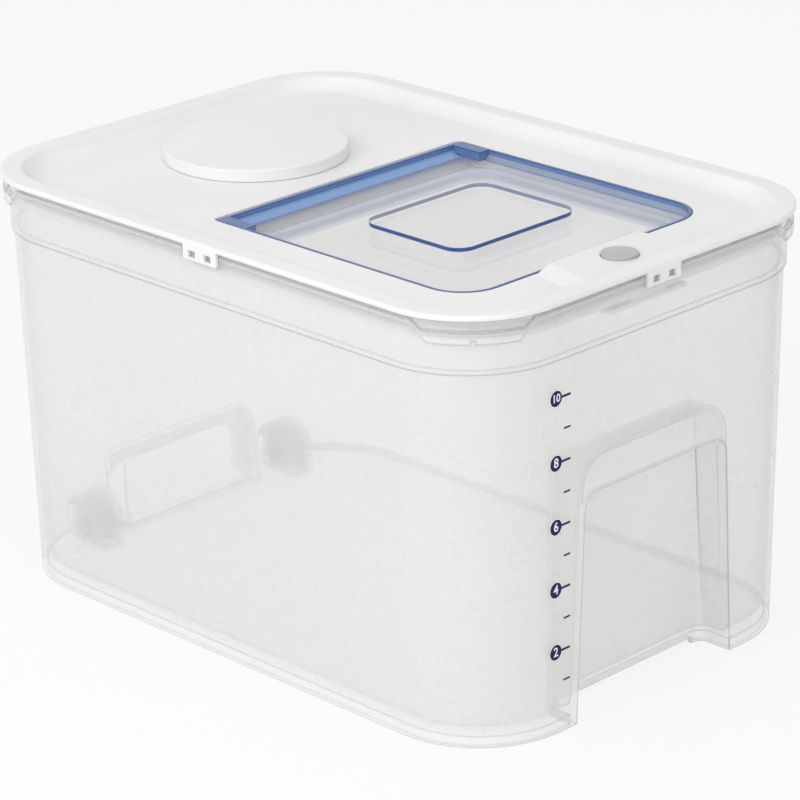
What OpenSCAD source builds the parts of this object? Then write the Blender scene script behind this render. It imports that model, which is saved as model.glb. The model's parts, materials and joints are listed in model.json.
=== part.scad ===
// Thirteen litre rice bin: frosted tub with grip recesses and rear wheels, clip-on
// lid, clear flip flap with a push-button latch, and a round drying-agent box.
// +X is the right side, -Y the front with the grip recess, +Z up; the origin is the
// middle of the footprint on the floor. Millimetres.

/* [Overall] */
// Length of the lid, front to back
lid_len = 330; // [322:1:340]
// Width of the lid
lid_wid = 233.2; // [228:0.2:240]
// Height of the closed bin
height = 200.2; // [198:0.2:206]

/* [Tub] */
// Width of the tub at the floor
foot_wid = 219.2; // [216:0.2:222]
// Length of the tub at the floor
foot_len = 322.2; // [320:0.2:324]
// Width of the tub just under its collar
shoulder_wid = 227.4; // [224:0.2:229]
// Length of the tub just under its collar
shoulder_len = 324.2; // [322:0.2:326]
// Corner radius of the tub
tub_r = 47.8; // [44:0.2:50]
// Wall thickness of the tub
wall = 2.2; // [1.8:0.1:2.6]
// Height of the shoulder, where the wider collar starts
shoulder_z = 174.3; // [168:0.1:178]
// Height of the inside floor
floor_z = 6.8; // [6:0.1:9]

/* [Front grip recess] */
// Half width of the recess at the floor
niche_foot_hw = 51; // [46:0.5:54]
// Half width of the recess at its roof
niche_roof_hw = 45.6; // [42:0.1:50]
// Height of the roof of the recess
niche_roof_z = 121.6; // [110:0.2:130]
// Lower edge of the down-turned grip lip
lip_z = 106.3; // [96:0.1:110]
// Distance of the back wall of the recess from the middle of the tub
niche_back_y = 143.6; // [140:0.1:147]

/* [Rear grip recess and wheels] */
// Half width of the rear recess
rear_hw = 41; // [36:0.5:43]
// Height of the roof of the rear recess
rear_roof_z = 35.2; // [32:0.2:40]
// Sideways distance of each wheel from the middle
wheel_x = 63.1; // [62:0.1:66]
// Distance of the wheel axles from the middle, towards the back
wheel_y = 145.6; // [144:0.1:147]
// Radius of a wheel
wheel_r = 11; // [9:0.1:11.1]
// Width of a wheel
wheel_w = 7.6; // [5:0.1:7.8]
// Radius of an axle
axle_r = 2; // [1.5:0.1:2.4]

/* [Flip flap] */
// Half width of the flap
flap_hw = 78.4; // [76:0.1:80]
// Rear edge of the flap
flap_rear_y = 32.7; // [30:0.1:34]
// Front edge of the flap
flap_front_y = -122.7; // [-124:0.1:-120]
// Depth of the tray in the flap
flap_tray = 4.2; // [3.5:0.1:4.6]
// Half width of the raised pad on the flap
pad_hw = 38.4; // [30:0.1:45]

/* [Button and latch] */
// Radius of the push button
button_r = 8.3; // [7.5:0.1:8.6]
// Distance of the button from the middle, towards the front
button_y = -139.3; // [-141:0.1:-138]
// Travel of the button
button_travel = 2.5; // [1.5:0.1:2.8]

/* [Drying-agent box] */
// Radius of the round cap
cap_r = 43.7; // [40:0.1:46]
// Distance of the cap from the middle, towards the back
cap_y = 89.7; // [86:0.1:92]
// Height of the basket below the lid
basket_h = 22; // [15:0.5:30]

/* [Hidden] */
$fn = 96;
eps = 0.01;

// Lid levels
lid_hl = lid_len / 2;
lid_hw = lid_wid / 2;
lid_r = 45.9;                     // corner radius of the lid
lid_edge = 2.3;                   // height of the visible lid edge
rim_w = 10;                       // width of the flat rim
sink = 5.9;                       // depth of the sunk panel below the rim
cove_r = 12.1;                    // radius of the hollow curve from rim to panel
sheet = 2;                        // thickness of the lid
edge_r = 0.8;                     // rounding of the lid's outer edge
lid_low_z = height - lid_edge;
panel_z = height - sink;
cove_w = sqrt(cove_r * cove_r - pow(cove_r - sink + 0.3, 2));
rim_round = 2;                    // rounding between the rim and the hollow curve
blend_w = sqrt(pow(cove_r + rim_round, 2) - pow(cove_r - sink + rim_round, 2));
blend_a = atan2(cove_r - sink + rim_round, blend_w);

// Tub levels and plan sizes
collar_hw = 114.6;
collar_hl = 162.9;
collar_r = 47.6;
collar_low_z = shoulder_z - 1.4;
collar_top_z = lid_low_z - 0.7;
mouth_hw = collar_hw - wall - 0.1;
mouth_hl = collar_hl - wall - 0.1;
mouth_r = collar_r - wall;
floor_t = 2.3;
fillet_r = 6;                     // inside radius between wall and floor
flange_in = 0.8;                  // how far the rim flange stays inside the lid's outline
flange_top_z = lid_low_z - 1.8;
flange_t = 2.2;
pull_dip = 3.8;                   // how far the flange dips at each corner for the fingers
pull_hw = 21.4;                   // half width of that dip at its bottom
pull_slope = 4.3;
pull_skirt = 2.9;                 // height of the stiffening skirt under the dip
skirt_t = 1.2;
tab_w = 21.4;                     // width of a snap tab
tab_h = 6.7;
tab_t = 1.6;

// Front recess
niche_round = 14.6;               // radius of the upper corners of the recess
niche_back_round = 7.8;           // radius between roof and back wall
niche_side_round = 5;             // upright inside corners
lip_round = 7.8;
niche_sill_z = 2.9;               // lower edge of the back wall of the recess
lip_back_y = foot_len / 2 - wall + 0.6;

// Rear recess, wheel wells and axles
rear_depth_y = 147.8;             // inside face of the rear recess
rear_lip_z = 29;
rear_lip_back_y = foot_len / 2 - wall + 0.2;
rear_round = 8;
well_r = 11.8;
well_hw = 4.3;
well_skin = 1.9;
well_z = 12.6;
wheel_z = wheel_r + 0.2;
axle_boss_r = 4;
axle_boss_l = 3;
axle_hl = well_hw + well_skin + 1;
snap_hw = axle_r - 0.25;          // the slot that the axle snaps through is narrower than it
flare_z = 12.3;                   // flared foot of the rear recess
flare_w = 3.8;
pull_reach = 60;                  // length of the bands that shape a corner's finger pull
heel_y = 147;                     // the foot rises behind this line, so the wheels meet the floor

// Flap levels
flap_t = 2.2;
flap_wall = 2;
flap_front_r = 19.5;
flap_rear_r = 3;
plate_top_z = panel_z - flap_tray;
plate_low_z = plate_top_z - flap_t;
pad_y0 = -81.2;
pad_y1 = -19.8;
pad_r = 9;
pad_h = 5.5;
rim_top_w = 1.3;                  // width of the tray's wall at its top
tray_slope = 2;                   // slope from that wall to the plate
rear_top_w = 2.6;                 // the same two at the rear, where the flap is hinged
rear_slope_w = 6;
plug_in = 5;                      // plug wall inside the flap's outline, at the sides and front
plug_rear_in = 17;
plug_t = 1.8;
plug_low_z = panel_z - 13.3;
plug_y0 = flap_front_y + plug_in;
plug_y1 = flap_rear_y - plug_rear_in;
plug_hw = flap_hw - plug_in;
plug_r = 15;
flap_gap = 0.5;
pocket_y0 = flap_front_y - 0.8;
pocket_y1 = flap_rear_y + 0.7;
pocket_hw = flap_hw + flap_gap;
pocket_wall = 1.8;
pocket_floor_z = panel_z - 10.3;
pocket_t = 1.8;
flap_seal_t = 1.2;

// Flap hinge
hinge_y = flap_rear_y - 6;
hinge_z = panel_z - 3.4;
pin_r = 1.25;
pin_fit = 0.05;
arm_x0 = 71.4;                    // hinge arms at the flap's rear corners
arm_y0 = flap_rear_y - 20;
room_x0 = 73;                     // hollow in each arm for its spring
room_x1 = 77.2;
room_front = 4.4;
room_top = 2.6;
coil_r = 1.9;
coil_wire_r = 0.25;
coil_x0 = 73.45;
coil_x1 = 76.8;
leg_front = 9;                    // length of the spring leg that lifts the flap
leg_down = 6.5;                   // length of the one that stands on the pocket's floor
pin_x0 = 70.6;
pin_x1 = 82;

// Latch
deck_z = height - 2.7;            // top of the raised deck round the button
deck_rear_hw = 28.3;
deck_front_hw = 34.5;
deck_front_y = -158;
deck_slope = 8;
button_gap = 0.25;
button_top_z = height - 0.8;
leg_x0 = 6;
leg_x1 = 7.8;
leg_hy = 2.5;
leg_low_z = 185.7;
slide_z0 = 185.4;
slide_z1 = 188.8;
slide_hw = 10;
slide_window_hw = 5.7;
nose_hw = 7;
nose_y = pocket_y0 + 0.3;
nose_tip_h = 1;
catch_t = 1.5;
catch_low_z = 184.4;
slide_front_y = -147.5;
slide_rear_y = -127.5;
cam_gap = 0.4;
cover_z0 = 181;
cover_z1 = 182.8;
cover_hw = 24;
cover_y0 = -156.5;
cover_y1 = -126;
stop_y = -154.5;
post_x = 20;
post_ys = [-132, -150];
post_r = 3;
screw_r = 1.25;

// Drying-agent box
cap_top = 2.2;
cap_wall = 2;
cap_gap = 0.2;
basket_r = 39.6;
basket_t = 1.6;
basket_flange_r = 41.2;
basket_flange_t = 1.5;
basket_hole_r = basket_r + 0.3;
cap_plug_r = 36.4;

// Lid plug and its seal
plug_ring_hw = mouth_hw - 1.4;
plug_ring_hl = mouth_hl - 1.4;
plug_ring_r = mouth_r - 1.4;
plug_ring_t = 2;
plug_ring_low_z = height - 14;
seal_in = 0.7;
seal_z0 = height - 11.5;
seal_z1 = height - 6.5;

// ---------------------------------------------------------------- plan shapes

// Rounded rectangle about the origin, given by half width, half length and radius.
module round_rect(hw, hl, r) {
    square([2 * hw, 2 * (hl - r)], center = true);
    square([2 * (hw - r), 2 * hl], center = true);
    for (sx = [-1, 1], sy = [-1, 1])
        translate([sx * (hw - r), sy * (hl - r)]) circle(r);
}

// Rounded rectangle from y0 to y1 with one radius at the front and one at the back.
module plan(hw, y0, y1, rf, rr) {
    translate([-hw, y0 + rf]) square([2 * hw, y1 - rr - y0 - rf]);
    translate([-hw + rf, y0]) square([2 * (hw - rf), y1 - y0 - rr]);
    translate([-hw + rr, y0 + rf]) square([2 * (hw - rr), y1 - y0 - rf]);
    for (s = [-1, 1]) {
        translate([s * (hw - rf), y0 + rf]) circle(rf);
        translate([s * (hw - rr), y1 - rr]) circle(rr);
    }
}

// Points of an arc about c, from angle a0 to a1 in n steps.
function arc(c, r, a0, a1, n) =
    [for (i = [0:n]) c + r * [cos(a0 + (a1 - a0) * i / n), sin(a0 + (a1 - a0) * i / n)]];

// Sweeps a profile (x = distance from the corner centre, y = height) round a
// rounded rectangle whose corner centres are at (+-cx, +-cy).
module sweep_round(cx, cy) {
    for (a = [0, 180]) rotate([0, 0, a]) {
        translate([cx, 0, 0]) rotate([90, 0, 0])
            linear_extrude(2 * cy, center = true) children();
        rotate([0, 0, 90]) translate([cy, 0, 0]) rotate([90, 0, 0])
            linear_extrude(2 * cx, center = true) children();
        translate([cx, cy, 0]) rotate_extrude(angle = 90) children();
        translate([-cx, cy, 0]) rotate([0, 0, 90]) rotate_extrude(angle = 90) children();
    }
}

// Extrudes a profile drawn as (y, z) along X, between x0 and x1.
module along_x(x0, x1) {
    translate([x0, 0, 0]) rotate([90, 0, 90]) linear_extrude(x1 - x0) children();
}

// Extrudes a profile drawn as (x, z) along Y, between y0 and y1.
module along_y(y0, y1) {
    translate([0, y1, 0]) rotate([90, 0, 0]) linear_extrude(y1 - y0) children();
}

// ---------------------------------------------------------------- wire

function unit(v) = v / norm(v);

function tangent(p, i) =
    unit(p[min(i + 1, len(p) - 1)] - p[max(i - 1, 0)]);

// Round wire along points that wind about the given axis.
module wire(p, r, axis, sides = 8) {
    n = len(p);
    rings = [for (i = [0:n - 1])
        let (t = tangent(p, i), u = unit(cross(t, axis)), v = cross(t, u))
        for (k = [0:sides - 1]) p[i] + r * (u * cos(360 * k / sides) + v * sin(360 * k / sides))];
    walls = [for (i = [0:n - 2], k = [0:sides - 1])
        [i * sides + k, i * sides + (k + 1) % sides,
         (i + 1) * sides + (k + 1) % sides, (i + 1) * sides + k]];
    ends = [[for (k = [sides - 1:-1:0]) k], [for (k = [0:sides - 1]) (n - 1) * sides + k]];
    polyhedron(rings, concat(walls, ends));
}

// Points of a helix about +Z, from height 0 to h.
function helix(r, h, turns, per_turn) =
    [for (i = [0:turns * per_turn])
        [r * cos(360 * i / per_turn), r * sin(360 * i / per_turn), h * i / (turns * per_turn)]];

// ---------------------------------------------------------------- tub

// Thin slice of the tub's plan at height z, drawn smaller by g all round.
module tub_slice(z, g) {
    k = z / shoulder_z;
    hw = foot_wid / 2 + (shoulder_wid - foot_wid) / 2 * k - g;
    hl = foot_len / 2 + (shoulder_len - foot_len) / 2 * k - g;
    translate([0, 0, z]) linear_extrude(eps) round_rect(hw, hl, tub_r - g);
}

module tub_outside() {
    hull() {
        tub_slice(0, 0);
        tub_slice(shoulder_z - eps, 0);
    }
    translate([0, 0, collar_low_z]) linear_extrude(collar_top_z - collar_low_z)
        round_rect(collar_hw, collar_hl, collar_r);
}

module tub_cavity() {
    hull() {
        for (a = [0:22.5:90])
            tub_slice(floor_z + fillet_r * (1 - cos(a)), wall + fillet_r * (1 - sin(a)));
        tub_slice(shoulder_z, wall);
    }
    translate([0, 0, shoulder_z]) linear_extrude(height - shoulder_z)
        round_rect(mouth_hw, mouth_hl, mouth_r);
}

// The front recess, or with g > 0 the skin round it. Three profiles cross: the
// arch seen from the front, the rounded back seen from the side, and the plan.
module niche_form(g) {
    roof = niche_roof_z + g;
    back = -niche_back_y + g;
    front = g > 0 ? -foot_len / 2 - 10 : -lip_back_y;
    r = niche_round + g;
    rb = niche_back_round + g;
    rs = niche_side_round + g;
    roof_hw = niche_roof_hw + g;
    foot_hw = niche_foot_hw + g;
    intersection() {
        along_y(front, back) union() {
            polygon([[-foot_hw, -1], [foot_hw, -1], [roof_hw, roof - r], [-roof_hw, roof - r]]);
            translate([-roof_hw + r, roof - r - 1]) square([2 * (roof_hw - r), r + 1]);
            for (s = [-1, 1]) translate([s * (roof_hw - r), roof - r]) circle(r);
        }
        along_x(-foot_hw - 1, foot_hw + 1) union() {
            translate([front, -1]) square([back - front, roof - rb + 1]);
            translate([front, -1]) square([back - rb - front, roof + 1]);
            translate([back - rb, roof - rb]) circle(rb);
        }
        translate([0, 0, -1]) linear_extrude(roof + 2) union() {
            translate([-foot_hw, front]) square([2 * foot_hw, back - rs - front]);
            translate([-foot_hw + rs, front]) square([2 * (foot_hw - rs), back - front]);
            for (s = [-1, 1]) translate([s * (foot_hw - rs), back - rs]) circle(rs);
        }
    }
}

// The mouth of the front recess: it ends below the grip lip.
module niche_mouth() {
    span = niche_roof_z + 1;
    lip_hw = niche_foot_hw + (niche_roof_hw - niche_foot_hw) * (lip_z + 1) / span;
    along_y(-foot_len / 2 - 10, -foot_len / 2 + 5) union() {
        polygon([[-niche_foot_hw, -1], [niche_foot_hw, -1],
            [lip_hw, lip_z - lip_round], [-lip_hw, lip_z - lip_round]]);
        translate([-lip_hw + lip_round, lip_z - lip_round - 1])
            square([2 * (lip_hw - lip_round), lip_round + 1]);
        for (s = [-1, 1])
            translate([s * (lip_hw - lip_round), lip_z - lip_round]) circle(lip_round);
    }
}

// The rear grip recess, or with g > 0 the skin round it.
module rear_form(g) {
    roof = rear_roof_z + g;
    face = rear_depth_y - g;
    back = g > 0 ? foot_len / 2 + 10 : rear_lip_back_y;
    r = 5 + g;
    along_x(-rear_hw - g, rear_hw + g) union() {
        translate([face, -1]) square([back - face, roof - r + 1]);
        translate([face + r, -1]) square([back - face - r, roof + 1]);
        translate([face + r, roof - r]) circle(r);
    }
}

module rear_mouth() {
    along_y(foot_len / 2 - 5, foot_len / 2 + 10) union() {
        translate([-rear_hw, -1]) square([2 * rear_hw, rear_lip_z - rear_round + 1]);
        translate([-rear_hw + rear_round, -1])
            square([2 * (rear_hw - rear_round), rear_lip_z + 1]);
        for (s = [-1, 1])
            translate([s * (rear_hw - rear_round), rear_lip_z - rear_round]) circle(rear_round);
    }
}

// One wheel well, or with g > 0 the skin round it.
module well_form(side, g) {
    x0 = side * wheel_x - well_hw - g;
    x1 = side * wheel_x + well_hw + g;
    along_x(x0, x1) union() {
        translate([wheel_y, well_z]) circle(well_r + g);
        translate([wheel_y - well_r - g, -1]) square([2 * (well_r + g), well_z + 1]);
    }
}

module axle_bosses(side) {
    hl = well_hw + well_skin + axle_boss_l;
    along_x(side * wheel_x - hl, side * wheel_x + hl)
        translate([wheel_y, wheel_z]) circle(axle_boss_r);
}

module axle_seat(side) {
    along_x(side * wheel_x - axle_hl, side * wheel_x + axle_hl) union() {
        translate([wheel_y, wheel_z]) circle(axle_r + 0.02);
        translate([wheel_y - snap_hw, -1]) square([2 * snap_hw, wheel_z + 1]);
    }
}

module tub_skins() {
    niche_form(wall);
    rear_form(wall);
    // Flared foot of the rear recess
    along_x(-rear_hw - wall, rear_hw + wall)
        polygon([[rear_depth_y - wall, flare_z], [rear_depth_y, flare_z], [rear_depth_y, 0],
            [rear_depth_y - wall - flare_w, 0], [rear_depth_y - wall - flare_w, floor_z]]);
    for (side = [-1, 1]) {
        well_form(side, well_skin);
        axle_bosses(side);
    }
}

module finger_pull() {
    dip = pull_hw + pull_slope;
    hi = flange_top_z;
    lo = flange_top_z - pull_dip;
    t = flange_t;
    // The flange outline cut by a band that dips between two slopes
    module band() {
        rotate([90, 0, 90]) linear_extrude(pull_reach)
            polygon([[-dip - 1, hi], [-dip, hi], [-pull_hw, lo], [pull_hw, lo], [dip, hi],
                [dip + 1, hi], [dip + 1, hi - t], [dip, hi - t], [pull_hw, lo - t],
                [-pull_hw, lo - t], [-dip, hi - t], [-dip - 1, hi - t]]);
    }
    module skirt() {
        rotate([90, 0, 90]) linear_extrude(pull_reach) difference() {
            polygon([[-pull_hw - 0.8, lo - t + 0.7], [pull_hw + 0.8, lo - t + 0.7],
                [pull_hw - 1.6, lo - t - pull_skirt], [-pull_hw + 1.6, lo - t - pull_skirt]]);
            translate([-1.1, lo - t - pull_skirt - 1]) square([2.2, 2.8]);
        }
    }
    cx = lid_hw - lid_r;
    cy = lid_hl - lid_r;
    low = lo - t - pull_skirt - 1;
    for (sx = [-1, 1], sy = [-1, 1]) {
        intersection() {
            translate([0, 0, low]) linear_extrude(hi - low + 1) flange_plan(0);
            translate([sx * cx, sy * cy, 0]) rotate([0, 0, atan2(sy, sx)]) band();
        }
        intersection() {
            translate([0, 0, low]) linear_extrude(hi - low + 1) difference() {
                flange_plan(0);
                round_rect(lid_hw - flange_in - skirt_t, lid_hl - flange_in - skirt_t,
                    lid_r - flange_in - skirt_t);
            }
            translate([sx * cx, sy * cy, 0]) rotate([0, 0, atan2(sy, sx)]) skirt();
        }
    }
}

// Plan of the rim flange, from its outer edge to inside the collar wall.
module flange_plan(g) {
    difference() {
        round_rect(lid_hw - flange_in - g, lid_hl - flange_in - g, lid_r - flange_in - g);
        round_rect(collar_hw - 1, collar_hl - 1, collar_r - 1);
    }
}

module rim_flange() {
    dip = pull_hw + pull_slope;
    notch = tab_w / 2 + 1.2;
    translate([0, 0, flange_top_z - flange_t]) linear_extrude(flange_t) difference() {
        flange_plan(0);
        for (sx = [-1, 1], sy = [-1, 1])
            translate([sx * (lid_hw - lid_r), sy * (lid_hl - lid_r)])
                rotate([0, 0, atan2(sy, sx)]) translate([0, -dip]) square([80, 2 * dip]);
        for (s = [-1, 1]) {
            translate([s * (collar_hw + 10), 0]) square([20, 2 * notch], center = true);
            translate([0, s * (collar_hl + 10)]) square([2 * notch, 20], center = true);
        }
    }
    finger_pull();
}

module bin_tub() {
    color([0.9, 0.9, 0.89, 0.6]) {
        difference() {
            union() {
                difference() {
                    tub_outside();
                    tub_cavity();
                    // The foot: an open skirt under the floor, kept closed round the recesses
                    difference() {
                        translate([0, 0, -1]) linear_extrude(floor_z - floor_t + 1)
                            round_rect(foot_wid / 2 - wall, foot_len / 2 - wall, tub_r - wall);
                        tub_skins();
                    }
                }
                intersection() {
                    tub_outside();
                    tub_skins();
                }
            }
            niche_form(0);
            niche_mouth();
            translate([-niche_foot_hw + 6, -niche_back_y - 5, -1])
                cube([2 * niche_foot_hw - 12, 12, niche_sill_z + 1]);
            rear_form(0);
            rear_mouth();
            for (side = [-1, 1]) {
                well_form(side, 0);
                axle_seat(side);
            }
            // The foot rises at the heel
            along_x(-foot_wid / 2, foot_wid / 2)
                polygon([[heel_y, -1], [heel_y, 0], [heel_y + 16, 3.8], [heel_y + 16, -1]]);
        }
        rim_flange();
    }
}

// ---------------------------------------------------------------- wheels

module wheel(side) {
    color([0.85, 0.85, 0.84]) translate([side * wheel_x, wheel_y, wheel_z]) rotate([0, 90, 0])
        rotate_extrude() difference() {
            // Crowned tread
            polygon([[axle_r + 0.05, -wheel_w / 2], [wheel_r - 1, -wheel_w / 2],
                [wheel_r, -wheel_w / 2 + 1.2], [wheel_r, wheel_w / 2 - 1.2],
                [wheel_r - 1, wheel_w / 2], [axle_r + 0.05, wheel_w / 2]]);
            // Dished faces between hub and tyre
            for (s = [-1, 1]) translate([6.4, s * (wheel_w / 2)])
                square([4.4, 3], center = true);
        }
}

module axle(side) {
    color("silver") along_x(side * wheel_x - axle_hl, side * wheel_x + axle_hl)
        translate([wheel_y, wheel_z]) circle(axle_r);
}

module wheel_left() { wheel(-1); }
module wheel_right() { wheel(1); }
module axle_left() { axle(-1); }
module axle_right() { axle(1); }

// ---------------------------------------------------------------- lid

// Section of the lid from the corner centre out to its edge.
module lid_profile() {
    rim_in = lid_r - rim_w;
    cove_in = rim_in - cove_w;
    top = panel_z + cove_r;
    polygon(concat(
        [[0, panel_z - sheet]],
        arc([cove_in, top], cove_r + sheet, -90, -50, 4),
        [[rim_in + 0.2, lid_low_z], [lid_r, lid_low_z]],
        arc([lid_r - edge_r, height - edge_r], edge_r, 0, 90, 4),
        arc([cove_in + blend_w, height - rim_round], rim_round, 90, 180 - blend_a, 5),
        arc([cove_in, top], cove_r, -blend_a, -90, 9),
        [[0, panel_z]]));
}

// Raised deck round the button, or with g > 0 the hollow under it.
module deck(g) {
    low = panel_z - 3;
    module slice(y, hw) {
        translate([0, y, 0]) rotate([90, 0, 0]) linear_extrude(eps)
            polygon([[-hw - deck_slope + g, panel_z - g], [-hw + g, deck_z - g],
                [hw - g, deck_z - g], [hw + deck_slope - g, panel_z - g],
                [hw + deck_slope - g, low - g], [-hw - deck_slope + g, low - g]]);
    }
    hull() {
        slice(pocket_y0 - 1 - g * 0.4, deck_rear_hw);
        slice(deck_front_y + 3 * g, deck_front_hw);
    }
}

module flap_pocket_plan(g) {
    plan(pocket_hw + g, pocket_y0 - g, pocket_y1 + g, flap_front_r + 0.6 + g, flap_rear_r + g);
}

module snap_tab() {
    along_x(-tab_t, 0) difference() {
        translate([-tab_w / 2, -tab_h]) square([tab_w, tab_h + 1]);
        for (s = [-1, 1]) translate([s * 5 - 2.1, -tab_h + 1.4]) square([4.2, 3]);
    }
}

module lid_cover() {
    cx = lid_hw - lid_r;
    cy = lid_hl - lid_r;
    color("white") {
        difference() {
            union() {
                sweep_round(cx, cy) lid_profile();
                translate([-cx, -cy, panel_z - sheet]) cube([2 * cx, 2 * cy, sheet]);
                intersection() {
                    deck(0);
                    translate([-60, deck_front_y, panel_z - sheet])
                        cube([120, pocket_y0 - deck_front_y, 20]);
                }
                // Walls and floor of the pocket that the flap lies in
                translate([0, 0, pocket_floor_z - pocket_t])
                    linear_extrude(panel_z - sheet / 2 - pocket_floor_z + pocket_t)
                        flap_pocket_plan(pocket_wall);
                // Ring that plugs into the mouth of the tub
                translate([0, 0, plug_ring_low_z])
                    linear_extrude(lid_low_z + 0.5 - plug_ring_low_z) difference() {
                        round_rect(plug_ring_hw, plug_ring_hl, plug_ring_r);
                        round_rect(plug_ring_hw - plug_ring_t, plug_ring_hl - plug_ring_t,
                            plug_ring_r - plug_ring_t);
                    }
            }
            // Pocket and pouring opening
            translate([0, 0, pocket_floor_z]) linear_extrude(20) flap_pocket_plan(0);
            translate([0, 0, pocket_floor_z - 5]) linear_extrude(10)
                plan(plug_hw + 1.6, plug_y0 - 1.6, plug_y1 + 1.6, plug_r + 1.6, plug_r + 1.6);
            // Hollow under the deck, button hole and slot for the latch nose
            intersection() {
                deck(sheet);
                translate([-60, deck_front_y, panel_z - 3 * sheet])
                    cube([120, pocket_y0 - pocket_wall - deck_front_y, 20]);
            }
            translate([0, button_y, panel_z - 5]) cylinder(r = button_r + button_gap, h = 20);
            translate([-nose_hw - 0.4, pocket_y0 - 4, slide_z0 - 0.3])
                cube([2 * nose_hw + 0.8, 6, slide_z1 - slide_z0 + 0.6]);
            // Hinge pins
            for (s = [-1, 1]) along_x(s > 0 ? 70 : -pin_x1, s > 0 ? pin_x1 : -70)
                translate([hinge_y, hinge_z]) circle(pin_r);
            // Hole for the drying-agent basket
            translate([0, cap_y, panel_z - 10]) cylinder(r = basket_hole_r, h = 20);
            // Groove for the seal
            translate([0, 0, seal_z0]) linear_extrude(seal_z1 - seal_z0) difference() {
                round_rect(plug_ring_hw + 1, plug_ring_hl + 1, plug_ring_r + 1);
                round_rect(plug_ring_hw - seal_in, plug_ring_hl - seal_in,
                    plug_ring_r - seal_in);
            }
        }
        // Screw posts of the latch
        for (x = [-post_x, post_x], y = post_ys)
            translate([x, y, cover_z1]) difference() {
                cylinder(r = post_r, h = deck_z - sheet - cover_z1 + 0.5);
                translate([0, 0, -1]) cylinder(r = screw_r, h = 9);
            }
        for (a = [0, 180]) rotate([0, 0, a]) {
            translate([lid_hw, 0, lid_low_z]) snap_tab();
            translate([0, lid_hl, lid_low_z]) rotate([0, 0, 90]) snap_tab();
        }
    }
}

module lid_seal() {
    reach = 1.1;
    color([0.85, 0.9, 0.95]) {
        translate([0, 0, seal_z0]) linear_extrude(seal_z1 - seal_z0) difference() {
            round_rect(plug_ring_hw, plug_ring_hl, plug_ring_r);
            round_rect(plug_ring_hw - seal_in, plug_ring_hl - seal_in, plug_ring_r - seal_in);
        }
        for (z = [seal_z0 + 0.6, seal_z1 - 1.6])
            translate([0, 0, z]) linear_extrude(1) difference() {
                round_rect(plug_ring_hw + reach, plug_ring_hl + reach, plug_ring_r + reach);
                round_rect(plug_ring_hw - 0.3, plug_ring_hl - 0.3, plug_ring_r - 0.3);
            }
    }
}

// ---------------------------------------------------------------- flap

module flap_outline(g) {
    plan(flap_hw - g, flap_front_y + g, flap_rear_y - g, flap_front_r - g, flap_rear_r - g);
}

// The hollow of the tray: a sloped foot, most gentle at the hinge, below a plain wall.
module tray_hollow() {
    module layer(z, h, k) {
        g = rim_top_w + tray_slope * k;
        translate([0, 0, z]) linear_extrude(h)
            plan(flap_hw - g, flap_front_y + g, flap_rear_y - rear_top_w - rear_slope_w * k,
                flap_front_r - g, 1);
    }
    hull() {
        layer(plate_top_z, 0.1, 1);
        layer(plate_top_z + tray_slope, panel_z + 1 - plate_top_z - tray_slope, 0);
    }
}

// Rear edge, rounded so that it clears the lid as it swings.
module rear_edge_cut(z, r, up) {
    along_x(-flap_hw - 1, flap_hw + 1) difference() {
        translate([flap_rear_y - r, up > 0 ? z - r : z - 1]) square(r + 1);
        translate([flap_rear_y - r, z - up * r]) circle(r);
    }
}

// Arm at one rear corner: it holds the pin and hides the spring.
module hinge_arm(side) {
    along_x(side > 0 ? arm_x0 : -flap_hw, side > 0 ? flap_hw : -arm_x0)
        translate([arm_y0, plate_low_z])
            square([flap_rear_y - arm_y0, panel_z - plate_low_z]);
}

module hinge_room(side) {
    x0 = side > 0 ? room_x0 : -room_x1;
    leg_x = side > 0 ? coil_x0 : -coil_x0;
    translate([x0, hinge_y - room_front, plate_low_z - 1])
        cube([room_x1 - room_x0, room_front + 10, hinge_z + room_top - plate_low_z + 1]);
    // Groove for the leg that lifts the flap
    translate([leg_x - 0.6, hinge_y - leg_front - 1, plate_low_z - 1])
        cube([1.2, leg_front, hinge_z - coil_r + coil_wire_r + 0.3 - plate_low_z + 1]);
    along_x(side > 0 ? pin_x0 - 0.5 : -flap_hw - 1, side > 0 ? flap_hw + 1 : -pin_x0 + 0.5)
        translate([hinge_y, hinge_z]) circle(pin_r + pin_fit);
}

// Catch under the front edge, with a window for the tip of the latch.
module flap_catch() {
    translate([-nose_hw - 2, flap_front_y, catch_low_z]) difference() {
        cube([2 * nose_hw + 4, catch_t, plate_low_z + 0.1 - catch_low_z]);
        translate([1.5, -1, 0.7]) cube([2 * nose_hw + 1, catch_t + 2, nose_tip_h + 0.7]);
    }
}

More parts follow.
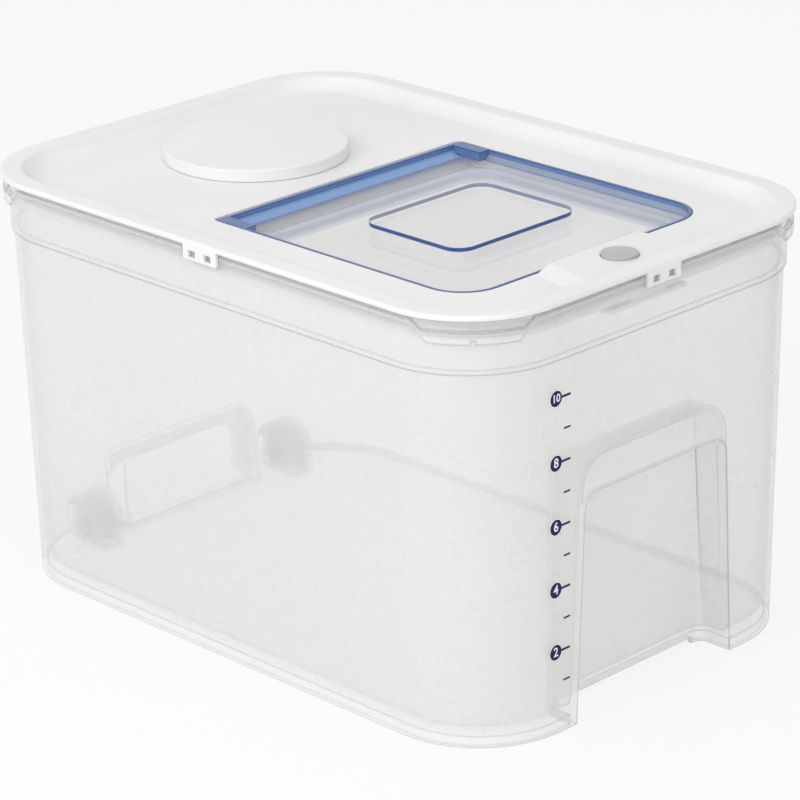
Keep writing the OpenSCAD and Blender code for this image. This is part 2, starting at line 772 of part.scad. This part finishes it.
module flap_panel() {
    color([0.35, 0.5, 0.85, 0.5]) difference() {
        union() {
            difference() {
                translate([0, 0, plate_low_z]) linear_extrude(panel_z - plate_low_z)
                    flap_outline(0);
                tray_hollow();
            }
            intersection() {
                translate([0, 0, plate_low_z]) linear_extrude(panel_z - plate_low_z)
                    flap_outline(0);
                union() {
                    hinge_arm(-1);
                    hinge_arm(1);
                }
            }
            // Raised hollow pad
            translate([0, 0, plate_top_z - 0.1]) linear_extrude(pad_h + 0.1)
                plan(pad_hw, pad_y0, pad_y1, pad_r, pad_r);
            // Plug wall
            translate([0, 0, plug_low_z]) linear_extrude(plate_low_z + 0.1 - plug_low_z)
                difference() {
                    plan(plug_hw, plug_y0, plug_y1, plug_r, plug_r);
                    plan(plug_hw - plug_t, plug_y0 + plug_t, plug_y1 - plug_t,
                        plug_r - plug_t, plug_r - plug_t);
                }
            flap_catch();
        }
        translate([0, 0, plate_low_z - 0.1]) linear_extrude(pad_h + flap_t - flap_wall + 0.1)
            plan(pad_hw - flap_wall, pad_y0 + flap_wall, pad_y1 - flap_wall,
                pad_r - flap_wall, pad_r - flap_wall);
        rear_edge_cut(panel_z, 1.5, 1);
        rear_edge_cut(plate_low_z, 2, -1);
        hinge_room(-1);
        hinge_room(1);
    }
}

module flap_seal() {
    z0 = plug_low_z + 1.2;
    color([0.8, 0.88, 0.95]) {
        translate([0, 0, z0]) linear_extrude(3) difference() {
            plan(plug_hw + 0.5, plug_y0 - 0.5, plug_y1 + 0.5, plug_r + 0.5, plug_r + 0.5);
            plan(plug_hw, plug_y0, plug_y1, plug_r, plug_r);
        }
        translate([0, 0, z0 + 0.5]) linear_extrude(1) difference() {
            plan(plug_hw + flap_seal_t, plug_y0 - flap_seal_t, plug_y1 + flap_seal_t,
                plug_r + flap_seal_t, plug_r + flap_seal_t);
            plan(plug_hw + 0.3, plug_y0 - 0.3, plug_y1 + 0.3, plug_r + 0.3, plug_r + 0.3);
        }
    }
}

module hinge_pin(side) {
    color("silver") along_x(side > 0 ? pin_x0 : -pin_x1, side > 0 ? pin_x1 : -pin_x0)
        translate([hinge_y, hinge_z]) circle(pin_r);
}

module hinge_pin_left() { hinge_pin(-1); }
module hinge_pin_right() { hinge_pin(1); }

// Torsion spring: a coil round the pin, one leg standing on the pocket's floor and
// one lying in the groove under the flap.
module flap_spring(side) {
    steps = 64;
    a0 = 180;
    a1 = -90 - 3 * 360;
    coil = [for (i = [0:steps]) let (a = a0 + (a1 - a0) * i / steps)
        [coil_x1 + (coil_x0 - coil_x1) * i / steps, coil_r * cos(a), coil_r * sin(a)]];
    legs = concat(
        [for (l = [leg_down, leg_down / 2]) [coil_x1, -coil_r, -l]],
        coil,
        [for (l = [leg_front / 2, leg_front]) [coil_x0, -l, -coil_r]]);
    color("silver") translate([0, hinge_y, hinge_z])
        mirror([side < 0 ? 1 : 0, 0, 0]) wire(legs, coil_wire_r, [1, 0, 0], 6);
}

module flap_spring_left() { flap_spring(-1); }
module flap_spring_right() { flap_spring(1); }

// ---------------------------------------------------------------- button and latch

module push_button() {
    head_z = button_top_z;
    dome = 0.6;
    flange_z = deck_z - sheet - 0.3;
    color([0.78, 0.79, 0.8]) translate([0, button_y, 0]) {
        rotate_extrude() polygon(concat(
            [[0, head_z - 3], [6.4, head_z - 3], [6.4, flange_z - 1.4], [button_r + 1.4, flange_z - 1.4],
             [button_r + 1.4, flange_z], [button_r, flange_z], [button_r, head_z - dome - 0.5]],
            arc([button_r - 0.5, head_z - dome - 0.5], 0.5, 0, 75, 5),
            [[button_r * 0.5, head_z - 0.15], [0, head_z]]));
        // Legs with the sloping ends that drive the latch
        for (s = [-1, 1]) along_x(s > 0 ? leg_x0 : -leg_x1, s > 0 ? leg_x1 : -leg_x0)
            polygon([[-leg_hy, flange_z - 1], [leg_hy, flange_z - 1], [leg_hy, leg_low_z],
                [-leg_hy, leg_low_z + 2 * leg_hy]]);
    }
}

module button_spring() {
    low = cover_z1 + 0.35;
    h = button_top_z - 3 - 0.35 - low;
    color("silver") translate([0, button_y, low]) wire(helix(4.6, h, 6, 18), 0.35, [0, 0, 1], 6);
}

// Frame that slides to the front when the button's legs go down.
module latch_slider() {
    ramp = button_y + leg_hy + leg_low_z - cam_gap;   // the ramp is the plane y + z = ramp
    slot_y1 = button_y + leg_hy + button_travel + 0.4;
    color("gainsboro") difference() {
        union() {
            translate([-slide_hw, slide_front_y, slide_z0])
                cube([2 * slide_hw, slide_rear_y - slide_front_y, slide_z1 - slide_z0]);
            // Nose with its lead-in slope
            along_x(-nose_hw, nose_hw)
                polygon([[slide_rear_y - 0.5, slide_z0], [nose_y, slide_z0], [nose_y, slide_z0 + nose_tip_h],
                    [nose_y - 1.6, slide_z1], [slide_rear_y - 0.5, slide_z1]]);
        }
        // Window round the button's spring
        translate([-slide_window_hw, button_y - 6, slide_z0 - 1])
            cube([2 * slide_window_hw, 12 + button_travel, 6]);
        for (s = [-1, 1]) along_x(s > 0 ? leg_x0 - 0.4 : -leg_x1 - 0.3, s > 0 ? leg_x1 + 0.3 : -leg_x0 + 0.4)
            polygon([[slot_y1, slide_z0 - 1], [slot_y1, slide_z1 + 1],
                [ramp - slide_z1 - 1, slide_z1 + 1], [ramp - slide_z0 + 1, slide_z0 - 1]]);
    }
}

module latch_spring() {
    gap = 0.25;
    h = slide_front_y - stop_y - 2 * gap;
    color("silver") translate([0, stop_y + gap, (slide_z0 + slide_z1) / 2]) rotate([-90, 0, 0])
        wire(helix(1.35, h, 5, 14), 0.25, [0, 0, 1], 6);
}

module latch_cover() {
    guide_z = slide_z1 + 0.6;
    color("white") difference() {
        union() {
            translate([-cover_hw, cover_y0, cover_z0])
                cube([2 * cover_hw, cover_y1 - cover_y0, cover_z1 - cover_z0]);
            for (s = [-1, 1]) translate([s > 0 ? slide_hw + 0.4 : -slide_hw - 2, stop_y, cover_z1 - 0.1])
                cube([1.6, 26, guide_z - cover_z1 + 0.1]);
            // Rests under the slider and the stop for its spring
            for (s = [-1, 1]) translate([s > 0 ? 8.4 : -9.8, stop_y, cover_z1 - 0.1])
                cube([1.4, 26, slide_z0 - 0.1 - cover_z1 + 0.1]);
            translate([-slide_hw - 2, cover_y0 + 0.5, cover_z1 - 0.1])
                cube([2 * slide_hw + 4, stop_y - cover_y0 - 0.5, guide_z - cover_z1 + 0.1]);
        }
        for (x = [-post_x, post_x], y = post_ys)
            translate([x, y, cover_z0 - 1]) cylinder(r = screw_r + 0.25, h = 4);
    }
}

// Screw of the cover plate: side -1 or 1, row 0 nearest the middle or 1 at the front.
module latch_screw(side, row) {
    head_r = 2.6;
    head_h = 1.5;
    slot_w = 0.6;
    color("silver") translate([side * post_x, post_ys[row], cover_z0]) difference() {
        union() {
            cylinder(r = screw_r, h = 8);
            translate([0, 0, -head_h]) cylinder(r = head_r, h = head_h);
        }
        for (a = [0, 90]) rotate([0, 0, a])
            translate([-1.5, -slot_w / 2, -head_h - 1]) cube([3, slot_w, 1.8]);
    }
}

module screw_rear_left() { latch_screw(-1, 0); }
module screw_rear_right() { latch_screw(1, 0); }
module screw_front_left() { latch_screw(-1, 1); }
module screw_front_right() { latch_screw(1, 1); }

// ---------------------------------------------------------------- drying-agent box

module desiccant_cap() {
    low = panel_z + cap_gap;
    color("white") translate([0, cap_y, 0]) {
        rotate_extrude() polygon(concat(
            [[0, height], [cap_r - 1, height]],
            arc([cap_r - 0.8, height - 0.8], 0.8, 80, 0, 4),
            [[cap_r, low], [cap_r - cap_wall, low], [cap_r - cap_wall, height - cap_top],
             [0, height - cap_top]]));
        // Ring that plugs into the basket and carries the seal
        translate([0, 0, panel_z - 5]) linear_extrude(height - cap_top + 0.1 - panel_z + 5)
            difference() {
                circle(cap_plug_r);
                circle(cap_plug_r - 1.8);
            }
    }
}

module desiccant_cap_seal() {
    color([0.85, 0.9, 0.95]) translate([0, cap_y, panel_z - 3.4]) {
        linear_extrude(2.6) difference() {
            circle(cap_plug_r + 0.7);
            circle(cap_plug_r);
        }
        translate([0, 0, 0.9]) linear_extrude(0.8) difference() {
            circle(basket_r - basket_t - 0.3);
            circle(cap_plug_r + 0.6);
        }
    }
}

module desiccant_basket() {
    low = panel_z - basket_h;
    slots = 24;
    color("white") translate([0, cap_y, 0]) difference() {
        rotate_extrude() polygon([[0, low], [basket_r - 1.2, low], [basket_r, low + 1.2],
            [basket_r, panel_z], [basket_flange_r, panel_z], [basket_flange_r, panel_z + basket_flange_t],
            [basket_r - basket_t, panel_z + basket_flange_t], [basket_r - basket_t, low + basket_t],
            [0, low + basket_t]]);
        for (i = [0:slots - 1]) rotate([0, 0, 360 * i / slots])
            translate([basket_r - 4, -1.1, low + 4]) cube([8, 2.2, basket_h - 12]);
        for (ring = [1:3], i = [0:6 * ring - 1]) rotate([0, 0, 360 * i / (6 * ring)])
            translate([9 * ring, 0, low - 1]) cylinder(r = 1.6, h = 4, $fn = 24);
    }
}

bin_tub();
wheel_left();
wheel_right();
axle_left();
axle_right();
lid_cover();
lid_seal();
hinge_pin_left();
hinge_pin_right();
flap_spring_left();
flap_spring_right();
flap_panel();
flap_seal();
push_button();
button_spring();
latch_slider();
latch_spring();
latch_cover();
screw_rear_left();
screw_rear_right();
screw_front_left();
screw_front_right();
desiccant_cap();
desiccant_cap_seal();
desiccant_basket();
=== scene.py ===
"""Dressed scene of the rice bin: materials, printed litre scale, floor, lights and camera."""
import json
import math

import bmesh
import bpy
from mathutils import Euler, Matrix, Vector


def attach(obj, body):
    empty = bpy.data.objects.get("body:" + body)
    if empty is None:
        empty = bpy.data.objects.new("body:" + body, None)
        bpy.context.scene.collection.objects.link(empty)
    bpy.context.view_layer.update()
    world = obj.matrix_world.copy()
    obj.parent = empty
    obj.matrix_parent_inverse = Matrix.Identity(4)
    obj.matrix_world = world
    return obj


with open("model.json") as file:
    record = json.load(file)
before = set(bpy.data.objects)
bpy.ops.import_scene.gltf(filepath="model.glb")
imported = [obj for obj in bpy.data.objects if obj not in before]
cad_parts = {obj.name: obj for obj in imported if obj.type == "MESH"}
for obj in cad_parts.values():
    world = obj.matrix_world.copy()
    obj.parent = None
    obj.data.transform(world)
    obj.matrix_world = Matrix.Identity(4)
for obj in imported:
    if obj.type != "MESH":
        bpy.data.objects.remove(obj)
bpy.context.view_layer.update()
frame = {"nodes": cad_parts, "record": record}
nodes = frame["nodes"]
scene = bpy.context.scene

# ---------------------------------------------------------------- camera

CAMERA_AT = (-1.09946, -1.12290, 0.70983)
CAMERA_TURN = (68.5894, 1.0709, -44.9041)
LENS = 163.90

cam_data = bpy.data.cameras.new("camera")
cam_data.sensor_width = 36.0
cam_data.lens = LENS
cam_data.clip_start = 0.05
cam_data.clip_end = 20.0
cam = bpy.data.objects.new("camera", cam_data)
cam.location = CAMERA_AT
cam.rotation_euler = Euler([math.radians(a) for a in CAMERA_TURN], "XYZ")
scene.collection.objects.link(cam)
scene.camera = cam


# ---------------------------------------------------------------- node helpers

def new_material(name):
    mat = bpy.data.materials.new(name)
    mat.use_nodes = True
    mat.node_tree.nodes.clear()
    return mat, mat.node_tree.nodes, mat.node_tree.links


def object_coords(n):
    return n.new("ShaderNodeTexCoord").outputs["Object"]


def noise(n, l, scale, detail=2.0, rough=0.5):
    tex = n.new("ShaderNodeTexNoise")
    tex.inputs["Scale"].default_value = scale
    tex.inputs["Detail"].default_value = detail
    tex.inputs["Roughness"].default_value = rough
    l.new(object_coords(n), tex.inputs["Vector"])
    return tex.outputs["Fac"]


def ranged(n, l, value, low, high, from_low=0.0, from_high=1.0):
    node = n.new("ShaderNodeMapRange")
    node.inputs["From Min"].default_value = from_low
    node.inputs["From Max"].default_value = from_high
    node.inputs["To Min"].default_value = low
    node.inputs["To Max"].default_value = high
    l.new(value, node.inputs["Value"])
    return node.outputs["Result"]


def mixed(n, l, fac, a, b):
    node = n.new("ShaderNodeMix")
    node.data_type = "RGBA"
    for socket, value in (("A", a), ("B", b)):
        target = [s for s in node.inputs if s.name == socket and s.type == "RGBA"][0]
        if isinstance(value, tuple):
            target.default_value = (*value, 1.0)
        else:
            l.new(value, target)
    if isinstance(fac, float):
        node.inputs["Factor"].default_value = fac
    else:
        l.new(fac, node.inputs["Factor"])
    return [s for s in node.outputs if s.type == "RGBA"][0]


def bump(n, l, height, strength, distance, bevel=0.0):
    node = n.new("ShaderNodeBump")
    node.inputs["Strength"].default_value = strength
    node.inputs["Distance"].default_value = distance
    l.new(height, node.inputs["Height"])
    if bevel:
        edge = n.new("ShaderNodeBevel")
        edge.samples = 4
        edge.inputs["Radius"].default_value = bevel
        l.new(edge.outputs["Normal"], node.inputs["Normal"])
    return node.outputs["Normal"]


def finish_material(n, l, shader):
    out = n.new("ShaderNodeOutputMaterial")
    l.new(shader, out.inputs["Surface"])


def plastic(name, color, dark, rough=(0.3, 0.42), grain=900.0, bevel=0.0, subsurface=0.0,
            alpha=1.0, gloss=0.5):
    """Moulded plastic: slight colour drift, fine grain in bump and roughness."""
    mat, n, l = new_material(name)
    p = n.new("ShaderNodeBsdfPrincipled")
    l.new(mixed(n, l, ranged(n, l, noise(n, l, 14.0, 3.0), 0.0, 1.0, 0.3, 0.7), dark, color),
          p.inputs["Base Color"])
    l.new(ranged(n, l, noise(n, l, 55.0, 2.0), rough[0], rough[1]), p.inputs["Roughness"])
    l.new(bump(n, l, noise(n, l, grain, 2.0), 0.06, 0.0002, bevel), p.inputs["Normal"])
    if subsurface:
        p.inputs["Subsurface Weight"].default_value = subsurface
        p.inputs["Subsurface Radius"].default_value = (1.0, 0.9, 0.8)
        p.inputs["Subsurface Scale"].default_value = 0.002
    p.inputs["Alpha"].default_value = alpha
    p.inputs["Specular IOR Level"].default_value = gloss
    finish_material(n, l, p.outputs["BSDF"])
    return mat


def math_node(n, l, operation, a, b=None, c=None, clamp=False):
    node = n.new("ShaderNodeMath")
    node.operation = operation
    node.use_clamp = clamp
    for i, value in enumerate((a, b, c)):
        if value is None:
            continue
        if isinstance(value, (int, float)):
            node.inputs[i].default_value = value
        else:
            l.new(value, node.inputs[i])
    return node.outputs[0]


def edge_mask(n, l, radius, samples=6):
    """1 on the sharp edges of the mesh, 0 on its flat and gently curved faces."""
    edge = n.new("ShaderNodeBevel")
    edge.samples = samples
    edge.inputs["Radius"].default_value = radius
    geo = n.new("ShaderNodeNewGeometry")
    dot = n.new("ShaderNodeVectorMath")
    dot.operation = "DOT_PRODUCT"
    l.new(edge.outputs["Normal"], dot.inputs[0])
    l.new(geo.outputs["Normal"], dot.inputs[1])
    return ranged(n, l, dot.outputs["Value"], 1.0, 0.0, 0.84, 0.99)


TUB_EDGE = 0.0015                 # half width of the painted dark shade lines along the tub's edges, in metres
FLAP_EDGE = 0.0008


def frosted(name):
    """Thin frosted polypropylene: milky scatter over a see-through wall, denser along its edges,
    with painted dark blue-grey shade along edges and silhouettes and a greyer painted shade at
    grazing angles.
    """
    mat, n, l = new_material(name)
    p = n.new("ShaderNodeBsdfPrincipled")
    facing = n.new("ShaderNodeLayerWeight")
    facing.inputs["Blend"].default_value = 0.35
    glance = ranged(n, l, facing.outputs["Facing"], 0.0, 1.0, 0.45, 1.0)
    edge_shade = edge_mask(n, l, TUB_EDGE)
    body = mixed(n, l, ranged(n, l, noise(n, l, 9.0, 2.0), 0.0, 1.0, 0.3, 0.7),
                 (0.915, 0.91, 0.90), (0.93, 0.925, 0.915))
    # Painted shade: the colour turns greyer at grazing angles and dark blue-grey (0.38, 0.43, 0.51)
    # along edges and silhouettes, standing in for light lost in the wall there.
    outline = ranged(n, l, facing.outputs["Facing"], 0.0, 0.75, 0.90, 1.0)
    edge_shade = math_node(n, l, "MAXIMUM", edge_shade, outline)
    grazing_shade = mixed(n, l, glance, body, (0.84, 0.85, 0.87))
    l.new(mixed(n, l, edge_shade, grazing_shade, (0.38, 0.43, 0.51)), p.inputs["Base Color"])
    milk = ranged(n, l, noise(n, l, 12.0, 1.0), 0.35, 0.36, 0.3, 0.7)
    total = math_node(n, l, "MULTIPLY_ADD", glance, 0.38, milk)
    l.new(math_node(n, l, "MULTIPLY_ADD", edge_shade, 0.45, total, clamp=True), p.inputs["Alpha"])
    l.new(ranged(n, l, noise(n, l, 60.0, 2.0), 0.24, 0.32), p.inputs["Roughness"])
    l.new(bump(n, l, noise(n, l, 700.0, 2.0), 0.03, 0.0002), p.inputs["Normal"])
    finish_material(n, l, p.outputs["BSDF"])
    return mat


PAD_TOP_LINE_Z = 0.1938           # the pad's wall gets painted navy shade above this height
PLATE_LOW_Z = 0.1877
PLATE_TOP_Z = 0.1897
RIM_TOP_Z = 0.1938
PAD_HALF = (0.0400, 0.0320)       # half size along X and Y of the box that holds the pad
PAD_MID_Y = -0.0505
HINGE_ZONE_Y = 0.0236             # the flap gets a painted steel-blue shade behind this line


def clear_blue(name):
    """Clear blue-tinted plastic: faces nearly clear with the plastic's own faint tint; walls, rim
    tops, plug walls and the hinge zone painted blue and edges and rims navy, as painted shade for
    light's long path through the tinted plastic.
    """
    mat, n, l = new_material(name)
    p = n.new("ShaderNodeBsdfPrincipled")
    geo = n.new("ShaderNodeNewGeometry")
    turn = n.new("ShaderNodeSeparateXYZ")
    local = n.new("ShaderNodeVectorTransform")
    local.vector_type = "NORMAL"
    local.convert_from = "WORLD"
    local.convert_to = "OBJECT"
    l.new(geo.outputs["True Normal"], local.inputs[0])
    l.new(local.outputs[0], turn.inputs[0])
    at = n.new("ShaderNodeSeparateXYZ")
    l.new(object_coords(n), at.inputs[0])

    def over(axis, level):
        return math_node(n, l, "GREATER_THAN", at.outputs[axis], level)

    def product(*values):
        total = values[0]
        for value in values[1:]:
            total = math_node(n, l, "MULTIPLY", total, value)
        return total

    def without(value):
        return math_node(n, l, "SUBTRACT", 1.0, value)

    def largest(*values):
        total = values[0]
        for value in values[1:]:
            total = math_node(n, l, "MAXIMUM", total, value)
        return total

    upright = ranged(n, l, math_node(n, l, "ABSOLUTE", turn.outputs["Z"]), 1.0, 0.0, 0.15, 0.96)
    in_x = math_node(n, l, "LESS_THAN", math_node(n, l, "ABSOLUTE", at.outputs["X"]), PAD_HALF[0])
    from_mid = math_node(n, l, "ABSOLUTE", math_node(n, l, "SUBTRACT", at.outputs["Y"], PAD_MID_Y))
    pad = product(in_x, math_node(n, l, "LESS_THAN", from_mid, PAD_HALF[1]))
    line = product(pad, over("Z", PAD_TOP_LINE_Z), upright)
    plug = without(over("Z", PLATE_LOW_Z))
    rim_wall = product(upright, without(pad), without(plug))
    rim_top = product(over("Z", RIM_TOP_Z), without(pad))
    edge_shade = product(edge_mask(n, l, FLAP_EDGE), over("Z", PLATE_TOP_Z), without(pad))
    # Painted shade: navy on the pad's top line, the edges and the rims, and blue on the walls, rim
    # tops, plug walls and hinge zone, laid over the plastic's own faint tint to stand in for
    # light's long path through it.
    navy_shade = largest(line, edge_shade, product(rim_wall, 0.45), product(rim_top, 0.90))
    blue = largest(navy_shade, product(rim_wall, 0.62), product(rim_top, 0.95),
                   product(upright, plug, 0.32), product(over("Y", HINGE_ZONE_Y), 0.70))
    drift = ranged(n, l, noise(n, l, 30.0, 2.0), 0.0, 0.04)
    tint = ranged(n, l, blue, 0.0, 1.0, 0.0, 0.5)
    pale = mixed(n, l, tint, (0.94, 0.925, 0.925), (0.24, 0.42, 0.75))
    l.new(mixed(n, l, navy_shade, pale, (0.012, 0.065, 0.27)), p.inputs["Base Color"])
    alpha = math_node(n, l, "MULTIPLY_ADD", blue, 0.74, 0.22)
    l.new(math_node(n, l, "ADD", alpha, drift, clamp=True), p.inputs["Alpha"])
    l.new(ranged(n, l, noise(n, l, 40.0, 2.0), 0.03, 0.08), p.inputs["Roughness"])
    l.new(bump(n, l, noise(n, l, 60.0, 2.0), 0.02, 0.0002), p.inputs["Normal"])
    p.inputs["IOR"].default_value = 1.55
    finish_material(n, l, p.outputs["BSDF"])
    return mat


def silicone(name, low, high):
    mat, n, l = new_material(name)
    p = n.new("ShaderNodeBsdfPrincipled")
    l.new(mixed(n, l, noise(n, l, 30.0), low, high),
          p.inputs["Base Color"])
    l.new(ranged(n, l, noise(n, l, 120.0), 0.38, 0.5), p.inputs["Roughness"])
    l.new(bump(n, l, noise(n, l, 900.0), 0.05, 0.0001), p.inputs["Normal"])
    p.inputs["Alpha"].default_value = 0.75
    finish_material(n, l, p.outputs["BSDF"])
    return mat


def steel(name):
    mat, n, l = new_material(name)
    p = n.new("ShaderNodeBsdfPrincipled")
    p.inputs["Metallic"].default_value = 1.0
    l.new(mixed(n, l, noise(n, l, 200.0), (0.55, 0.56, 0.58), (0.68, 0.69, 0.71)),
          p.inputs["Base Color"])
    l.new(ranged(n, l, noise(n, l, 500.0), 0.22, 0.34), p.inputs["Roughness"])
    l.new(bump(n, l, noise(n, l, 1500.0), 0.04, 0.0001), p.inputs["Normal"])
    finish_material(n, l, p.outputs["BSDF"])
    return mat


WHITE = plastic("white_lid", (0.84, 0.84, 0.835), (0.80, 0.80, 0.80), bevel=0.0006,
                subsurface=0.15)
BUTTON = plastic("grey_button", (0.47, 0.465, 0.455), (0.43, 0.425, 0.415), (0.24, 0.32),
                 grain=1200.0, bevel=0.0004)
WHEEL = plastic("wheel_plastic", (0.93, 0.93, 0.92), (0.89, 0.89, 0.88), (0.4, 0.55),
                alpha=0.55)
SLIDER = plastic("white_acetal", (0.82, 0.82, 0.80), (0.77, 0.77, 0.75), (0.35, 0.45))
FROSTED = frosted("frosted_tub")
CLEAR = clear_blue("clear_blue")
SILICONE = silicone("silicone", (0.80, 0.80, 0.79), (0.84, 0.84, 0.83))
FLAP_SILICONE = silicone("flap_silicone", (0.50, 0.62, 0.84), (0.56, 0.68, 0.87))
STEEL = steel("steel")
PRINT = plastic("navy_print", (0.008, 0.018, 0.085), (0.006, 0.014, 0.07), (0.45, 0.55),
                gloss=0.15)
PRINT_WHITE = plastic("white_print", (0.86, 0.86, 0.87), (0.82, 0.82, 0.83), (0.35, 0.45))

SLOT_MATERIAL = {"frosted_tub": FROSTED, "white_lid": WHITE, "clear_blue": CLEAR,
                 "grey_button": BUTTON, "white_acetal": SLIDER, "silicone": SILICONE,
                 "wheel_plastic": WHEEL, "steel": STEEL}
for entry in frame["record"]["subparts"]:
    obj = nodes[entry["node"]]
    material = SLOT_MATERIAL[entry["material_slot"]]
    if entry["node"] == "flap_seal":
        material = FLAP_SILICONE
    if not obj.material_slots:
        obj.data.materials.append(material)
    for slot in obj.material_slots:
        slot.material = material

# ---------------------------------------------------------------- printed litre scale

MM = 0.001
FOOT_FRONT_Y = -161.1
SHOULDER_Z = 174.3
SHOULDER_OUT = 1.0
FILM = 0.08                       # how far the print stands proud of the wall
PRINT_THICK = 0.10


def wall_y(z):
    """Front wall's outer face at height z, in millimetres."""
    return FOOT_FRONT_Y - SHOULDER_OUT * z / SHOULDER_Z


def on_wall(name, outline, x, z, material, proud):
    """Thin printed shape on the front wall from a flat outline in local millimetres."""
    bm = bmesh.new()
    front = []
    back = []
    for u, v in outline:
        px, pz = x + u, z + v
        front.append(bm.verts.new(Vector((px, wall_y(pz) - proud, pz)) * MM))
        back.append(bm.verts.new(Vector((px, wall_y(pz) - proud + PRINT_THICK, pz)) * MM))
    bm.faces.new(front)
    bm.faces.new(list(reversed(back)))
    for i in range(len(front)):
        j = (i + 1) % len(front)
        bm.faces.new((front[j], front[i], back[i], back[j]))
    bmesh.ops.recalc_face_normals(bm, faces=bm.faces)
    mesh = bpy.data.meshes.new(name)
    bm.to_mesh(mesh)
    bm.free()
    obj = bpy.data.objects.new(name, mesh)
    obj.data.materials.append(material)
    scene.collection.objects.link(obj)
    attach(obj, "tub")
    return obj


def circle(r, steps=40):
    return [(r * math.cos(2 * math.pi * i / steps), r * math.sin(2 * math.pi * i / steps))
            for i in range(steps)]


def bar(x0, x1, z0, z1):
    return [(x0, z0), (x1, z0), (x1, z1), (x0, z1)]


def digits(name, text, x, z, size, proud):
    """A number as thin raised print on the front wall."""
    curve = bpy.data.curves.new(name, "FONT")
    curve.body = text
    curve.align_x = "CENTER"
    curve.align_y = "CENTER"
    curve.size = size * MM
    curve.extrude = 0.04 * MM
    curve.resolution_u = 3
    curve.offset = 0.10 * MM
    temp = bpy.data.objects.new(name + ".curve", curve)
    scene.collection.objects.link(temp)
    bpy.context.view_layer.update()
    mesh = bpy.data.meshes.new_from_object(temp)
    bpy.data.objects.remove(temp)
    mesh.transform(Matrix.Translation(Vector((x, wall_y(z) - proud, z)) * MM)
                   @ Euler((math.radians(90), 0, 0)).to_matrix().to_4x4())
    mesh.name = name
    obj = bpy.data.objects.new(name, mesh)
    obj.data.materials.clear()
    obj.data.materials.append(PRINT_WHITE)
    scene.collection.objects.link(obj)
    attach(obj, "tub")
    return obj


MARK_X = -64.7
TICK_X = -55.8
HALO_R = 3.9
DISC_R = 3.55
DIGIT_SIZE = 6.0
TWO_DIGIT_SIZE = 5.0
MINOR_HALF = 2.0
LOWEST_MARK_Z = 39.1              # height of the 2 litre mark, and the rise for each litre
LITRE_RISE = 14.6
MAJOR_Z = {litres: LOWEST_MARK_Z + LITRE_RISE * (litres - 2) for litres in (10, 8, 6, 4, 2)}
MINOR_Z = {litres: LOWEST_MARK_Z + LITRE_RISE * (litres - 2) for litres in (9, 7, 5, 3, 1)}
for litres, z in MAJOR_Z.items():
    on_wall(f"scale_halo_{litres}", circle(HALO_R), MARK_X, z, PRINT_WHITE, FILM)
    on_wall(f"scale_disc_{litres}", circle(DISC_R), MARK_X, z, PRINT, FILM + 0.03)
    on_wall(f"scale_tick_{litres}", bar(3.2, TICK_X - MARK_X, -0.5, 0.5),
            MARK_X, z, PRINT, FILM + 0.02)
    digits(f"scale_number_{litres}", str(litres), MARK_X, z,
           DIGIT_SIZE if litres < 10 else TWO_DIGIT_SIZE, FILM + 0.04)
for litres, z in MINOR_Z.items():
    on_wall(f"scale_tick_{litres}", bar(-MINOR_HALF, MINOR_HALF, -0.4, 0.4),
            TICK_X - MINOR_HALF, z, PRINT, FILM)

# ---------------------------------------------------------------- floor, world and lamps

floor_mesh = bpy.data.meshes.new("floor")
floor_mesh.from_pydata([(-6, -6, 0), (6, -6, 0), (6, 6, 0), (-6, 6, 0)], [], [(0, 1, 2, 3)])
floor = bpy.data.objects.new("floor", floor_mesh)
scene.collection.objects.link(floor)


def seen_directly(n, l):
    """1 for what the camera sees itself or through or by gloss, 0 for the light on the object."""
    path = n.new("ShaderNodeLightPath")
    first = n.new("ShaderNodeMath")
    first.operation = "MAXIMUM"
    l.new(path.outputs["Is Camera Ray"], first.inputs[0])
    l.new(path.outputs["Is Glossy Ray"], first.inputs[1])
    both = n.new("ShaderNodeMath")
    both.operation = "MAXIMUM"
    l.new(first.outputs[0], both.inputs[0])
    l.new(path.outputs["Is Transmission Ray"], both.inputs[1])
    return both.outputs[0]


mat, n, l = new_material("floor_pale")
diffuse = n.new("ShaderNodeBsdfDiffuse")
diffuse.inputs["Color"].default_value = (0.86, 0.86, 0.86, 1.0)
glow = n.new("ShaderNodeEmission")
glow.inputs["Color"].default_value = (1.0, 1.0, 1.0, 1.0)
glow.inputs["Strength"].default_value = 1.0
blend = n.new("ShaderNodeMixShader")
l.new(ranged(n, l, seen_directly(n, l), 0.0, 0.80), blend.inputs["Fac"])
l.new(diffuse.outputs["BSDF"], blend.inputs[1])
l.new(glow.outputs["Emission"], blend.inputs[2])
finish_material(n, l, blend.outputs["Shader"])
floor.data.materials.append(mat)

WORLD_LIGHT = 0.66
world = bpy.data.worlds.new("studio")
world.use_nodes = True
scene.world = world
n, l = world.node_tree.nodes, world.node_tree.links
n.clear()
back = n.new("ShaderNodeBackground")
back.inputs["Color"].default_value = (1.0, 1.0, 1.0, 1.0)
l.new(ranged(n, l, seen_directly(n, l), WORLD_LIGHT, 1.0), back.inputs["Strength"])
out = n.new("ShaderNodeOutputWorld")
l.new(back.outputs["Background"], out.inputs["Surface"])


def area_light(name, at, aim, size, power):
    data = bpy.data.lights.new(name, "AREA")
    data.shape = "SQUARE"
    data.size = size
    data.energy = power
    lamp = bpy.data.objects.new(name, data)
    lamp.location = at
    lamp.rotation_euler = (Vector(aim) - Vector(at)).to_track_quat("-Z", "Y").to_euler()
    scene.collection.objects.link(lamp)
    return lamp


CENTRE = (0.0, 0.0, 0.1)
area_light("key", (-1.5, 0.2, 1.1), CENTRE, 0.9, 11.0)
area_light("fill", (-0.9, -1.5, 0.9), CENTRE, 0.8, 8.0)
area_light("top", (0.2, 0.3, 1.8), CENTRE, 1.0, 1.5)

scene.view_settings.view_transform = "Standard"
